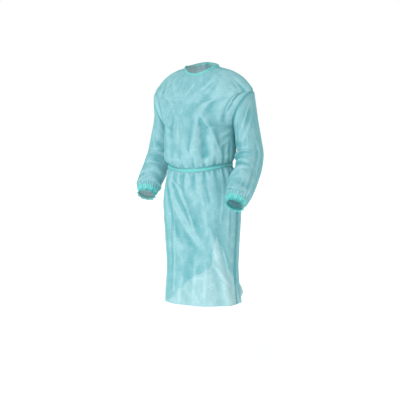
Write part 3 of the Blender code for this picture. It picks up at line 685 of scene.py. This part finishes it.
FOLDS_OF = {"front": [], "left_back": [], "right_back": []}
for values in FOLDS:
    FOLDS_OF[values[0]].append(dict(zip(FOLD_COLUMNS, values)))
CREASES_OF = {"front": [], "left_back": [], "right_back": []}
for panel, share_0, z_0, share_1, z_1, width, depth in CREASES:
    CREASES_OF[panel].append((share_0 * PANEL_REACH, z_0, share_1 * PANEL_REACH, z_1, width, depth))
SLEEVE_CREASES_OF = {"left": [], "right": []}
for side, station_0, turn_0, station_1, turn_1, width, depth in SLEEVE_CREASES:
    first_end = (turn_0 * TURN_LENGTH, station_0 * STATION_LENGTH)
    last_end = (turn_1 * TURN_LENGTH, station_1 * STATION_LENGTH)
    SLEEVE_CREASES_OF[side].append(first_end + last_end + (width, depth))


def linear(code):
    """An sRGB hex colour as linear red, green, blue and alpha."""
    values = [int(code[k : k + 2], 16) / 255 for k in (1, 3, 5)]
    return tuple(v / 12.92 if v <= 0.04045 else ((v + 0.055) / 1.055) ** 2.4 for v in values) + (1.0,)


def add(tree, kind, links=(), **settings):
    """Adds a node. Settings that name an input set its value, the others set the node's own fields."""
    made = tree.nodes.new(kind)
    for name, value in settings.items():
        if name in made.bl_rna.properties:
            setattr(made, name, value)
        else:
            made.inputs[name.replace("_", " ")].default_value = value
    for socket, source in links:
        tree.links.new(source, made.inputs[socket])
    return made


def nonwoven(name, colour, light, deep, alpha, roughness=0.6):
    """Spunbonded polypropylene: cloudy fibres, a lattice of pressed bond points and papery crumples."""
    material = bpy.data.materials.new(name)
    material.use_nodes = True
    tree = material.node_tree
    shader = tree.nodes["Principled BSDF"]
    place = add(tree, "ShaderNodeUVMap", uv_map="cloth")
    mm = add(tree, "ShaderNodeVectorMath", [(0, place.outputs["UV"])], operation="SCALE")
    mm.inputs["Scale"].default_value = 1000.0
    spot = mm.outputs["Vector"]
    # Uneven lay of the fibres: soft clouds about 9 mm and 35 mm across.
    clouds = add(tree, "ShaderNodeTexNoise", [("Vector", spot)], Scale=0.11, Detail=4.0, Roughness=0.62)
    drifts = add(tree, "ShaderNodeTexNoise", [("Vector", spot)], Scale=0.028, Detail=2.0, Roughness=0.5)
    layers = [(0, clouds.outputs["Fac"]), (1, drifts.outputs["Fac"])]
    both = add(tree, "ShaderNodeMath", layers, operation="ADD")
    spread = add(tree, "ShaderNodeMapRange", [("Value", both.outputs["Value"])], From_Min=0.30, From_Max=1.70)
    # Creases: painted shade, deeper in a trough, and painted highlight, paler along a ridge.
    height = add(tree, "ShaderNodeAttribute", attribute_name="shaded_relief")
    crease_shade = add(tree, "ShaderNodeMapRange", [("Value", height.outputs["Fac"])], To_Min=-0.24, To_Max=0.34)
    crease_shade.inputs["From Min"].default_value = -RELIEF_FULL_SHADE
    crease_shade.inputs["From Max"].default_value = RELIEF_FULL_SHADE
    layers = [(0, spread.outputs["Result"]), (1, crease_shade.outputs["Result"])]
    clouds_and_crease_shade = add(tree, "ShaderNodeMath", layers, operation="ADD")
    # Seams: two layers of cloth let less light through.
    seam = add(tree, "ShaderNodeAttribute", attribute_name="seam")
    darker = add(tree, "ShaderNodeMath", [(0, seam.outputs["Fac"])], operation="MULTIPLY")
    darker.inputs[1].default_value = SEAM_TINT
    layers = [(0, clouds_and_crease_shade.outputs["Value"]), (1, darker.outputs["Value"])]
    depth = add(tree, "ShaderNodeMath", layers, operation="SUBTRACT", use_clamp=True)
    tint = add(tree, "ShaderNodeValToRGB", [("Fac", depth.outputs["Value"])])
    tint.color_ramp.elements[0].color = linear(deep)
    tint.color_ramp.elements[1].color = linear(light)
    middle = tint.color_ramp.elements.new(0.5)
    middle.color = linear(colour)
    tree.links.new(tint.outputs["Color"], shader.inputs["Base Color"])
    # Bond points: pressed spots 0.5 mm across on a 1.6 mm lattice.
    bonds = add(tree, "ShaderNodeTexVoronoi", [("Vector", spot)], Scale=0.62, Randomness=0.12)
    away = [("Value", bonds.outputs["Distance"])]
    pressed = add(tree, "ShaderNodeMapRange", away, From_Min=0.16, From_Max=0.30)
    # Fibres: fine streaks, longer down the cloth than across it.
    stretch = add(tree, "ShaderNodeMapping", [("Vector", spot)], Scale=(3.2, 1.1, 1.0))
    fibres = add(tree, "ShaderNodeTexNoise", [("Vector", stretch.outputs["Vector"])], Scale=1.0, Detail=3.0)
    # Papery crumples, about 20 mm across, that catch the light.
    dents = add(tree, "ShaderNodeTexNoise", [("Vector", spot)], Scale=0.05, Detail=3.0, Roughness=0.55)
    dents.inputs["Distortion"].default_value = 0.8
    dent_bump = add(tree, "ShaderNodeBump", [("Height", dents.outputs["Fac"])], Strength=0.45, Distance=0.003)
    layers = [("Height", fibres.outputs["Fac"]), ("Normal", dent_bump.outputs["Normal"])]
    fibre_bump = add(tree, "ShaderNodeBump", layers, Strength=0.25, Distance=0.0003)
    layers = [("Height", pressed.outputs["Result"]), ("Normal", fibre_bump.outputs["Normal"])]
    bond_bump = add(tree, "ShaderNodeBump", layers, Strength=0.4, Distance=0.00018)
    tree.links.new(bond_bump.outputs["Normal"], shader.inputs["Normal"])
    # Pressed spots are smoother than the loose fibres round them.
    loose = [("Value", pressed.outputs["Result"])]
    smooth = add(tree, "ShaderNodeMapRange", loose, To_Min=roughness - 0.16, To_Max=roughness)
    tree.links.new(smooth.outputs["Result"], shader.inputs["Roughness"])
    shader.inputs["Alpha"].default_value = alpha
    shader.inputs["Specular IOR Level"].default_value = 0.35
    # Seen along its surface the cloth looks deeper and greener, as more of its fibres lie in the way.
    shader.inputs["Sheen Weight"].default_value = 0.7
    shader.inputs["Sheen Roughness"].default_value = 0.45
    shader.inputs["Sheen Tint"].default_value = linear("#35C9C0")
    return material


def thread(name, colour):
    """Sewing thread: fine twisted yarn with a slight sheen."""
    material = bpy.data.materials.new(name)
    material.use_nodes = True
    tree = material.node_tree
    shader = tree.nodes["Principled BSDF"]
    place = add(tree, "ShaderNodeTexCoord")
    spot = [("Vector", place.outputs["Object"])]
    twist = add(tree, "ShaderNodeTexWave", spot, Scale=1400.0, Distortion=1.0)
    shades = add(tree, "ShaderNodeMixRGB", [("Fac", twist.outputs["Fac"])], Color1=linear(colour))
    shades.inputs["Color2"].default_value = linear("#8ACDD0")
    tree.links.new(shades.outputs["Color"], shader.inputs["Base Color"])
    shader.inputs["Roughness"].default_value = 0.5
    return material


def seam_band(grid, closed, sewn):
    """1 on the doubled cloth beside the sewn edges, which are named start, end and top, and 0 elsewhere."""
    rows, columns = len(grid), len(grid[0])
    found = []
    for i in range(rows):
        steps = [0.0] + [(b - a).length for a, b in zip(grid[i], grid[i][1:])]
        from_start = list(itertools.accumulate(steps))
        for j in range(columns):
            away = [1.0]
            if "start" in sewn:
                away.append(from_start[j])
            if "end" in sewn:
                away.append(from_start[-1] - from_start[j])
            if "top" in sewn:
                away.append((grid[i][j] - grid[0][j]).length)
            found.append(smooth_step(min(away), SEAM_BAND + 0.002, SEAM_BAND - 0.002))
    return found


def in_scene(name, data):
    """A new object of a mesh, a light or a camera."""
    thing = bpy.data.objects.new(name, data)
    bpy.context.scene.collection.objects.link(thing)
    return thing


def placed(name, mesh, material, replaced=()):
    """A smooth piece of the gown, its body and the nodes it stands for."""
    mesh.shade_smooth()
    mesh.materials.append(material)
    thing = in_scene(name, mesh)
    if replaced:
        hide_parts(*replaced)
    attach(thing, "root")
    return thing


def cloth(name, grid, closed, material, replaced=(), sewn=()):
    """One sheet from a grid of points, with its cloth coordinates in metres along and down it."""
    rows, columns = len(grid), len(grid[0])
    widest = max(range(rows), key=lambda i: sum((b - a).length for a, b in zip(grid[i], grid[i][1:])))
    ring = grid[widest] + (grid[widest][:1] if closed else [])
    along = [0.0]
    for a, b in zip(ring, ring[1:]):
        along.append(along[-1] + (b - a).length)
    down = [0.0]
    middle = columns // 2
    for i in range(1, rows):
        down.append(down[-1] + (grid[i][middle] - grid[i - 1][middle]).length)
    mesh = bpy.data.meshes.new(name)
    faces, spots = [], []
    for i in range(rows - 1):
        for j in range(columns if closed else columns - 1):
            k = (j + 1) % columns
            faces.append((i * columns + j, (i + 1) * columns + j, (i + 1) * columns + k, i * columns + k))
            spots += [(along[j], -down[i]), (along[j], -down[i + 1])]
            spots += [(along[j + 1], -down[i + 1]), (along[j + 1], -down[i])]
    mesh.from_pydata([tuple(p) for row in grid for p in row], [], faces)
    layer = mesh.uv_layers.new(name="cloth")
    layer.data.foreach_set("uv", [value for spot in spots for value in spot])
    # How far each point stands out, painted by the material as shade in troughs and highlight on ridges.
    heights = mesh.attributes.new("shaded_relief", "FLOAT", "POINT")
    heights.data.foreach_set("value", shaded_relief(grid, closed))
    bands = mesh.attributes.new("seam", "FLOAT", "POINT")
    bands.data.foreach_set("value", seam_band(grid, closed, sewn))
    thing = placed(name, mesh, material, replaced)
    return thing, (along[-1], down[-1])


def grid_normals(grid, closed):
    """An outward direction at each point of a grid."""
    rows, columns = len(grid), len(grid[0])
    found = []
    for i in range(rows):
        row = []
        for j in range(columns):
            before = grid[i][(j - 1) % columns if closed else max(j - 1, 0)]
            after = grid[i][(j + 1) % columns if closed else min(j + 1, columns - 1)]
            lengthwise = grid[min(i + 1, rows - 1)][j] - grid[max(i - 1, 0)][j]
            row.append((after - before).cross(-lengthwise).normalized())
        found.append(row)
    return found


def neck_rings(left, front, right):
    """The rings of the neck binding, from its inner edge over its top and down its outer side."""
    foot = right[0] + front[0][1:] + left[0][1:]
    rings = []
    for number, (height, out) in enumerate(BINDING_SECTION):
        ring = []
        for k, point in enumerate(foot):
            away = Vector((point.x, point.y, 0)).normalized()
            rise = (Vector((0, 0, 1)) - away * BINDING_LEAN).normalized()
            side = (away + Vector((0, 0, BINDING_LEAN))).normalized()
            ripple = BINDING_RIPPLE * math.sin(0.9 * k + 1.3 * math.sin(0.21 * k) + 0.5 * number)
            ripple *= smooth_step(height, 1.0, 0.6)
            ring.append(point + rise * BINDING_WIDTH * height + side * (out + ripple))
        rings.append(ring)
    return rings


def belt_line(level):
    """The cloth under the belt at a level, all the way round, and its outward directions."""
    points, outs = [], []
    for k in range(FRONT_COLUMNS):
        point, out = section_point("front", level, -1 + 2 * k / FRONT_COLUMNS)
        points.append(point)
        outs.append(out)
    for k in range(FRONT_COLUMNS):
        share = 1 - 2 * k / FRONT_COLUMNS
        point, out = back_surface(level, share)
        points.append(point + out * lap_lift(share, point.z))
        outs.append(out)
    return points, outs


def belt_rings():
    """The belt's rings. It is narrower and stands out more where it is twisted."""
    over, _ = belt_line(LEVEL["belt_over"])
    middle, outs = belt_line(LEVEL["belt"])
    under, _ = belt_line(LEVEL["belt_under"])
    rings = []
    for share, out in BELT_SECTION:
        ring = []
        for k, (high, centre, low, away) in enumerate(zip(over, middle, under, outs)):
            turn = 2 * math.pi * k / len(middle)
            twist = math.sin(BELT_TURNS * turn + 1.9 * math.sin(turn + 0.4))
            narrow = 0.80 - 0.26 * smooth_step(twist, 0.2, 1.0)
            lean = 0.0016 * twist * share
            held = share * narrow
            point = centre + (high - centre) * held if held > 0 else centre + (low - centre) * -held
            fine = 0.0003 * math.sin(7.1 * share + 3 * turn) + 0.00025 * math.sin(31 * turn + 4 * share)
            ring.append(point + away * (BELT_OUT + out * (1.25 - 0.5 * narrow) + lean + fine))
        rings.append(ring)
    return rings[::-1]


def front_inside(side, level, in_share):
    """A point of the front's cloth beside its side edge, as if on the left, and its outward direction."""
    share = 1 - in_share
    point, out = section_point("front", level, share if side == "left" else -share)
    if side == "right":
        point.x, out.x = -point.x, -out.x
    return point, out


def armhole_inside(side, turn, in_share):
    """A point of the body's cloth beside the armhole, as if on the left, and its outward direction."""
    turn = turn % 360
    if turn <= 180:
        return front_inside(side, LEVEL["seam_top"] + turn / 180, in_share)
    level = LEVEL["seam_top"] + (360 - turn) / 180
    return section_point(side + "_back", level, 1 - in_share)


def allowance_grid(place, steps):
    """A strip inside the cloth. place gives a point and an outward direction for a run and a row's share."""
    grid = []
    for row in range(ALLOWANCE_ROWS):
        share = row / (ALLOWANCE_ROWS - 1)
        ring = []
        for k in range(steps + 1):
            point, out = place(k / steps, share * ALLOWANCE_SHARE)
            curl = 0.0004 * math.sin(0.7 * k + 2.2 * math.sin(0.13 * k)) * share
            ring.append(point - out * (ALLOWANCE_IN * (0.4 + share) + curl))
        grid.append(ring)
    return grid


def side_place(side, first, last):
    """Places along a side or shoulder seam, on the front panel, from one level to another."""

    def place(run, in_share):
        return front_inside(side, first + (last - first) * run, in_share)

    return place


def sleeve_place(side):
    """Places along a sleeve's own seam, which runs down its inner side."""
    last = len(SLEEVES[side]) - 1.02

    def place(run, in_share):
        station = 0.06 + (last - 0.06) * run
        turn = 180 + in_share * 260
        point = sleeve_point(side, station, turn)
        out = point - sleeve_frame(side, station)[1]
        along = sleeve_frame(side, station)[4]
        return point, (out - along * out.dot(along)).normalized()

    return place


def solve(function, target, low, high):
    """Where a rising or falling function reaches the target, by halving."""
    rising = function(high) > function(low)
    for _ in range(26):
        middle = (low + high) / 2
        if (function(middle) < target) == rising:
            low = middle
        else:
            high = middle
    return (low + high) / 2


def on_back(x, z):
    """The point of the outermost back layer at this x and z, and its outward direction."""
    level, share = float(LEVEL["hip"]), 0.0
    for _ in range(3):
        level = solve(lambda value: back_surface(value, share)[0].z, z, 0.0, float(LEVEL["hem"]))
        share = solve(lambda value: back_surface(level, value)[0].x, x, -0.9, 0.9)
    point, out = back_surface(level, share)
    return point + out * lap_lift(share, point.z), out


def tie_grid(tie):
    """A limp strip that hangs from inside its knot: it sways, curls at its edges and has one soft fold."""
    start_x, start_z = tie["knot_x"] * TIE_TUCK_SHARE, tie["start_z"] + TIE_TUCK
    stops = []
    for k in range(TIE_STOPS + 1):
        run = k / TIE_STOPS
        x = start_x + (tie["end_x"] - start_x) * run
        stops.append(on_back(x, start_z + (tie["end_z"] - start_z) * run))
    grid = []
    for k in range(TIE_ROWS + 1):
        run = k / TIE_ROWS
        cell = min(int(run * TIE_STOPS), TIE_STOPS - 1)
        part = run * TIE_STOPS - cell
        point = stops[cell][0].lerp(stops[cell + 1][0], part)
        out = stops[cell][1].lerp(stops[cell + 1][1], part).normalized()
        across = out.cross(Vector((0, 0, 1))).normalized()
        width = tie["width"] * (0.45 + 0.55 * smooth_step(run, 0.0, 0.16))
        sway = 0.004 * math.sin(5.2 * run + 30 * tie["end_x"])
        row = []
        for j in range(TIE_COLUMNS_ACROSS + 1):
            share = 2 * j / TIE_COLUMNS_ACROSS - 1
            fold = TIE_FOLD * (math.cos(2.6 * share + 3 * run) + 0.5 * math.sin(17 * run + 2 * share))
            curl = 0.002 * abs(share) ** 3 * smooth_step(run, 0.7, 1.0)
            lift = TIE_OUT + TIE_FOLD + fold * 0.8 + curl + TIE_TUCK_OUT * smooth_step(run, 0.10, 0.0)
            row.append(point + across * (-share * width / 2 + sway) + out * lift)
        grid.append(row)
    return grid


def knot_grid(knot):
    """A strip tied in an overhand knot, crushed flat: rings of its section along the knotted path."""
    centre = Vector((0, knot["y"], knot["z"]))
    size = Vector((knot["half_x"], knot["half_y"], knot["half_z"]))
    path = []
    for k in range(KNOT_STEPS):
        t = 2 * math.pi * k / KNOT_STEPS
        x, z, y = math.sin(t) + 2 * math.sin(2 * t), math.cos(t) - 2 * math.cos(2 * t), -math.sin(3 * t)
        path.append(centre + Vector((x * size.x * 0.25, y * size.y * 0.50, z * size.z * 0.25)))
    grid = []
    for k, point in enumerate(path):
        along = (path[(k + 1) % KNOT_STEPS] - path[k - 1]).normalized()
        flat = along.cross(Vector((0, 1, 0))).normalized()
        thick = flat.cross(along).normalized()
        ring = []
        for j in range(KNOT_SECTION):
            angle = 2 * math.pi * j / KNOT_SECTION
            crush = 1 + KNOT_FOLD * math.sin(3 * angle + 0.4 * k)
            wide = flat * math.cos(angle) * size.z * 0.34
            ring.append(point + (wide + thick * math.sin(angle) * size.y * 0.42) * crush * 0.8)
        grid.append(ring)
    return grid + grid[:1]


def stitches(name, lines, material):
    """Short bars of thread along lines of points, each line with its outward directions."""
    points, faces = [], []
    for line in lines:
        run, spacing = 0.0, STITCH_PITCH
        for (start, out), (end, _) in zip(line, line[1:]):
            length = (end - start).length
            while run + spacing <= run + length and length > 0:
                spot = start.lerp(end, spacing / length)
                along = (end - start).normalized()
                bar(points, faces, spot + out * STITCH_OUT, along, out)
                spacing += STITCH_PITCH
            spacing -= length
    mesh = bpy.data.meshes.new(name)
    mesh.from_pydata([tuple(p) for p in points], [], faces)
    placed(name, mesh, material)


def bar(points, faces, spot, along, out):
    """One stitch: a bar of four sides that is thickest in its middle."""
    half = STITCH_PITCH * STITCH_SHARE / 2
    across = along.cross(out).normalized()
    base = len(points)
    for place, grow in ((-1, 0.35), (0, 1.0), (1, 0.35)):
        for a, b in ((1, 0), (0, 1), (-1, 0), (0, -1)):
            lift = 0.0 if place == 0 else -STITCH_OUT
            middle = spot + along * half * place + out * lift
            points.append(middle + (across * a + out * b) * STITCH_RADIUS * grow)
    for ring in (0, 4):
        for k in range(4):
            after = (k + 1) % 4
            low, high = base + ring, base + ring + 4
            faces.append((low + k, high + k, high + after, low + after))
    faces.append((base, base + 1, base + 2, base + 3))
    faces.append((base + 8, base + 11, base + 10, base + 9))


def strip(length):
    """Takes a long strip's length, at least 12 mm, and keeps nothing of it."""
    length = max(length, 0.012)


def other_side(pairs):
    """Points and outward directions for the wearer's right side."""
    return [(Vector((-p.x, p.y, p.z)), Vector((-o.x, o.y, o.z))) for p, o in pairs]


def make_seams(cloth_finish, yarn):
    """The turned-in seam allowances, which lie inside the cloth, and the stitching beside the seams."""
    lines = []
    for side in ("left", "right"):
        seams = {
            "armhole": (lambda run, inside, side=side: armhole_inside(side, 360 * run, inside), 150),
            "shoulder": (side_place(side, 0.0, float(LEVEL["seam_top"])), 40),
            "side_seam": (side_place(side, float(LEVEL["underarm"]), float(LEVEL["hem"])), 220),
            "sleeve_seam": (sleeve_place(side), 120),
        }
        for seam, (place, steps) in seams.items():
            grid = allowance_grid(place, steps)
            edge = [place(k / steps, STITCH_IN_SHARE) for k in range(steps + 1)]
            if side == "right":
                grid = mirrored(grid)
                edge = other_side(edge)
            lines.append(edge)
            thing, size = cloth(f"{seam}_allowance_{side}", grid, False, cloth_finish)
            strip(size[0])
    stitches("seam_stitches", lines, yarn)


def make_trims(left, front, right, doubled, yarn):
    """The neck binding, the belt, the tie ends and the knots."""
    rings = neck_rings(left, front, right)
    thing, size = cloth("neck_binding_strip", rings, False, doubled, ["neck_binding"])
    strip(size[0])
    under = [(p, Vector((p.x, p.y, 0)).normalized()) for p in rings[BINDING_STITCH_ROW]]
    stitches("neck_stitches", [under], yarn)
    thing, size = cloth("waist_tie_strip", belt_rings(), True, doubled, ["waist_tie"])
    strip(size[0])
    for tie in TIES:
        tie = dict(zip(TIE_COLUMNS, tie))
        name = tie["name"]
        thing, size = cloth(name + "_strip", tie_grid(tie), False, doubled, [name])
        strip(size[1])
    for knot in KNOTS:
        knot = dict(zip(KNOT_COLUMNS, knot))
        name = knot["name"]
        thing, size = cloth(name + "_tied", knot_grid(knot), True, doubled, [name])
        strip(size[1])


def shaded_relief(grid, closed):
    """How far each point stands out from the points around it, in metres, at two reaches."""
    rows, columns = len(grid), len(grid[0])
    normals = grid_normals(grid, closed)
    found = []
    for i in range(rows):
        for j in range(columns):
            point, out = grid[i][j], normals[i][j]
            height = 0.0
            for reach, weight in RELIEF_REACHES:
                up, down = max(i - reach, 0), min(i + reach, rows - 1)
                before = (j - reach) % columns if closed else max(j - reach, 0)
                after = (j + reach) % columns if closed else min(j + reach, columns - 1)
                lengthwise = (grid[up][j] + grid[down][j]) / 2
                across = (grid[i][before] + grid[i][after]) / 2
                if down - i == i - up:
                    height += weight * (point - lengthwise).dot(out)
                if closed or after - j == j - before:
                    height += weight * (point - across).dot(out)
            found.append(height)
    return found


def main():
    # Each ramp's deep end also carries painted crease shade, and its pale end painted ridge highlight.
    single = nonwoven("mint_nonwoven", "#7DBBC3", "#A2D5DC", "#4BA6AE", 0.85)
    doubled = nonwoven("mint_nonwoven_doubled", "#62C8C6", "#8FDBD7", "#3AAAAA", 0.92, 0.52)
    yarn = thread("mint_thread", "#6FBFC2")
    levels = places(BODY, BODY_COLUMNS)
    shares = [-1 + 2 * k / FRONT_COLUMNS for k in range(FRONT_COLUMNS + 1)]
    across = [k / BACK_COLUMNS for k in range(BACK_COLUMNS + 1)]
    front = [[section_point("front", level, s)[0] for s in shares] for level in levels]
    left = [[back_point("left_back", level, a) for a in across] for level in levels]
    right = [[back_point("right_back", level, a) for a in reversed(across)] for level in levels]
    thing, _ = cloth("front_cloth", front, False, single, ["front_panel"], ("start", "end"))
    thing, _ = cloth("back_cloth_left", left, False, single, ["back_panel_left"], ("start",))
    thing, _ = cloth("back_cloth_right", right, False, single, ["back_panel_right"], ("end",))
    sleeve_turns = [-360 * k / SLEEVE_POINTS for k in range(SLEEVE_POINTS)]
    cuff_turns = [-360 * k / CUFF_POINTS for k in range(CUFF_POINTS)]
    cuff_rows = [dict(zip(CUFF_COLUMNS, row)) for row in CUFF]
    for side, table in SLEEVES.items():
        sleeve = [[sleeve_point(side, s, t) for t in sleeve_turns] for s in places(table, SLEEVE_COLUMNS)]
        wrist = [[cuff_point(side, row, t) for t in cuff_turns] for row in cuff_rows]
        if side == "right":
            sleeve, wrist = mirrored(sleeve), mirrored(wrist)
        node = "sleeve_" + side
        thing, _ = cloth("sleeve_cloth_" + side, sleeve, True, single, [node], ("top",))
        thing, _ = cloth("cuff_cloth_" + side, wrist, True, doubled, ["cuff_" + side])
    make_seams(single, yarn)
    make_trims(left, front, right, doubled, yarn)
    studio()


def studio():
    """A white studio: light from all round, one large soft light in front, and a white floor."""
    scene = bpy.context.scene
    scene.view_settings.view_transform = "Standard"
    world = bpy.data.worlds.new("studio")
    world.use_nodes = True
    tree = world.node_tree
    tree.nodes["Background"].inputs["Color"].default_value = linear("#FFFFFF")
    # The backdrop is white all round, and lights the garment less than it shows.
    path = add(tree, "ShaderNodeLightPath")
    camera_ray = [("Value", path.outputs["Is Camera Ray"])]
    seen = add(tree, "ShaderNodeMapRange", camera_ray, To_Min=ROOM_LIGHT, To_Max=1.0)
    tree.links.new(seen.outputs["Result"], tree.nodes["Background"].inputs["Strength"])
    scene.world = world
    right = Vector((math.cos(CAMERA_TURN), math.sin(CAMERA_TURN), 0))
    look = Vector((-math.sin(CAMERA_TURN), math.cos(CAMERA_TURN), 0))
    down = Vector((0, 0, FLOOR_Z))
    ends = ((-1, -1), (-1, 1), (1, 1), (1, -1))
    corners = [(look * far + right * side) * FLOOR_REACH + down for far, side in ends]
    sheet = bpy.data.meshes.new("floor")
    sheet.from_pydata([tuple(p) for p in corners], [], [(0, 1, 2, 3)])
    floor = in_scene("floor", sheet)
    paper = bpy.data.materials.new("studio_floor")
    paper.use_nodes = True
    shader = paper.node_tree.nodes["Principled BSDF"]
    shader.inputs["Base Color"].default_value = linear("#FAFAFA")
    shader.inputs["Roughness"].default_value = 0.9
    shader.inputs["Emission Color"].default_value = linear("#FFFFFF")
    shader.inputs["Emission Strength"].default_value = FLOOR_GLOW
    floor.data.materials.append(paper)
    key = bpy.data.lights.new("key", "SUN")
    key.energy = SUN_STRENGTH
    key.angle = SUN_SPREAD
    lamp = in_scene("key", key)
    lamp.rotation_euler = Vector(SUN_WAY).to_track_quat("-Z", "Y").to_euler()
    data = bpy.data.cameras.new("camera")
    data.lens = LENS_MM
    camera = in_scene("camera", data)
    camera.location = -look * CAMERA_DISTANCE + Vector((0, 0, CAMERA_HEIGHT)) + right * CAMERA_ASIDE
    camera.rotation_euler = (math.pi / 2 - CAMERA_TILT, 0, CAMERA_TURN)
    scene.camera = camera


main()
